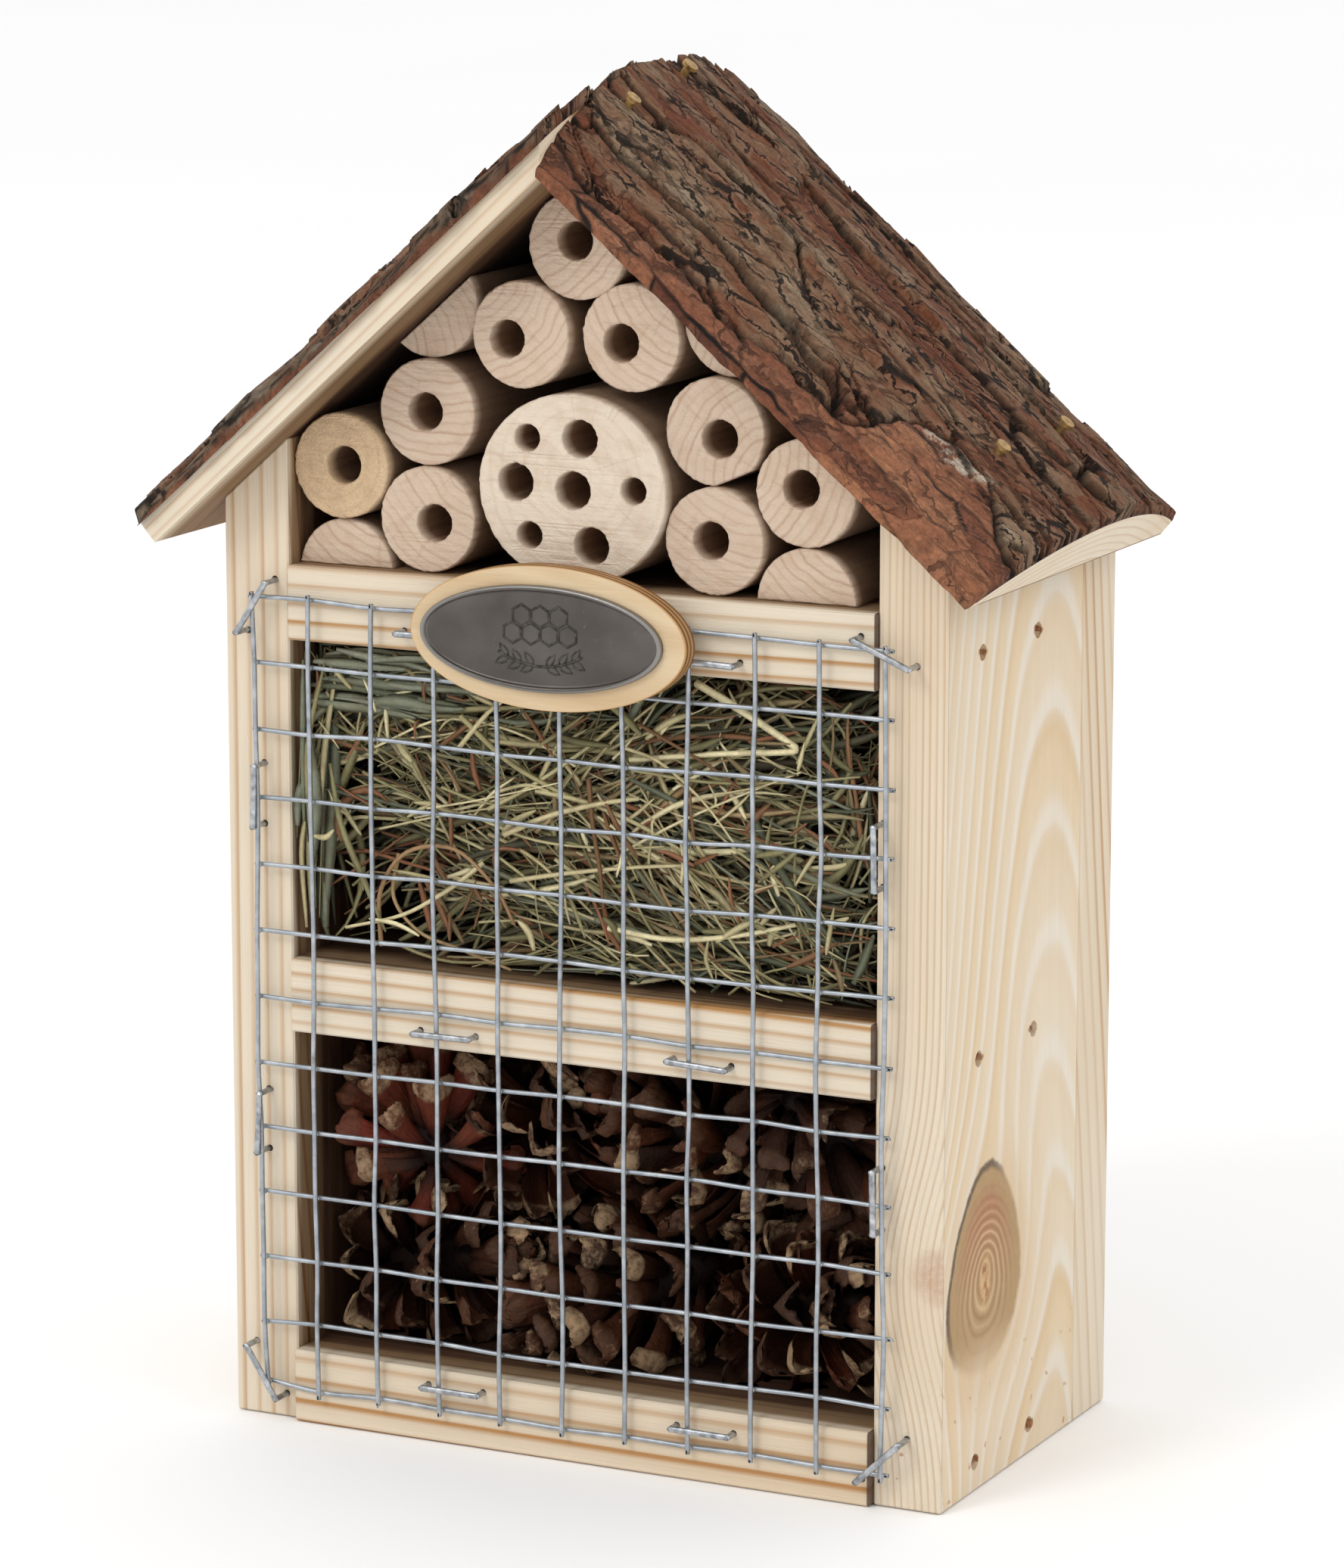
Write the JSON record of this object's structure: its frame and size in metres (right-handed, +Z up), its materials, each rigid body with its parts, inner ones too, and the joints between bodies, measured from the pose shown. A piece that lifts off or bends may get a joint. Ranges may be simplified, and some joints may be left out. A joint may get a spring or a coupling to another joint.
{
  "type": "insect hotel",
  "caption": "Small gabled pine insect hotel with bark roof slabs, drilled dowel nests in the gable, and hay and pine cone chambers behind welded wire mesh.",
  "frame": {"origin": "on the underside of the floor shelf, midway between the outer faces of the side boards, in the plane of the side boards' front edges", "axes": "+Z up toward the ridge, +Y from the meshed front toward the back board, +X toward the right-hand side board seen from the front"},
  "size_m": [0.1833, 0.0937, 0.2607],
  "materials": {
    "pine_board": "sawn, dry, unfinished",
    "slab_wood": "sawn face of a log slab, unfinished",
    "pine_bark": "rough fissured bark, matt",
    "dowel_beech": "sawn end grain, matt",
    "log_birch": "sawn end grain, matt",
    "plywood": "laser-cut plywood, matt",
    "pewter_plate": "satin with a polished rim",
    "galvanised_wire": "zinc coated, dull",
    "staple_steel": "zinc coated, dull",
    "nail_steel": "lightly rusted",
    "hanger_steel": "zinc plated",
    "hay": "dry grass, matt",
    "cone_scale": "dry woody scales, matt"
  },
  "bodies": {
    "root": {"left_side_board": "pine_board", "right_side_board": "pine_board", "back_board": "pine_board", "floor_shelf": "pine_board", "middle_shelf": "pine_board", "upper_shelf": "pine_board", "left_roof_slab": "slab_wood", "right_roof_slab": "slab_wood", "left_roof_bark": "pine_bark", "right_roof_bark": "pine_bark", "wire_mesh": "galvanised_wire", "mesh_staples": "staple_steel", "plaque_disc": "plywood", "plaque_plate": "pewter_plate", "plaque_pins": "nail_steel", "roof_nails": "nail_steel", "side_nails": "nail_steel", "back_nails": "nail_steel", "hanger_plate": "hanger_steel", "hanger_screws": "hanger_steel", "hay_fill": "hay", "drilled_log": "log_birch", "ridge_dowel": "dowel_beech", "upper_left_dowel": "dowel_beech", "upper_right_dowel": "dowel_beech", "left_dowel": "dowel_beech", "outer_left_dowel": "dowel_beech", "lower_left_dowel": "dowel_beech", "right_dowel": "dowel_beech", "lower_right_dowel": "dowel_beech", "outer_right_dowel": "dowel_beech", "left_roof_half_dowel": "dowel_beech", "right_roof_half_dowel": "dowel_beech", "left_shelf_half_dowel": "dowel_beech", "right_shelf_half_dowel": "dowel_beech", "pine_cone_1": "cone_scale", "pine_cone_2": "cone_scale", "pine_cone_3": "cone_scale", "pine_cone_4": "cone_scale", "pine_cone_5": "cone_scale", "pine_cone_6": "cone_scale", "pine_cone_7": "cone_scale", "pine_cone_8": "cone_scale", "pine_cone_9": "cone_scale", "pine_cone_10": "cone_scale"}
  },
  "joints": []
}
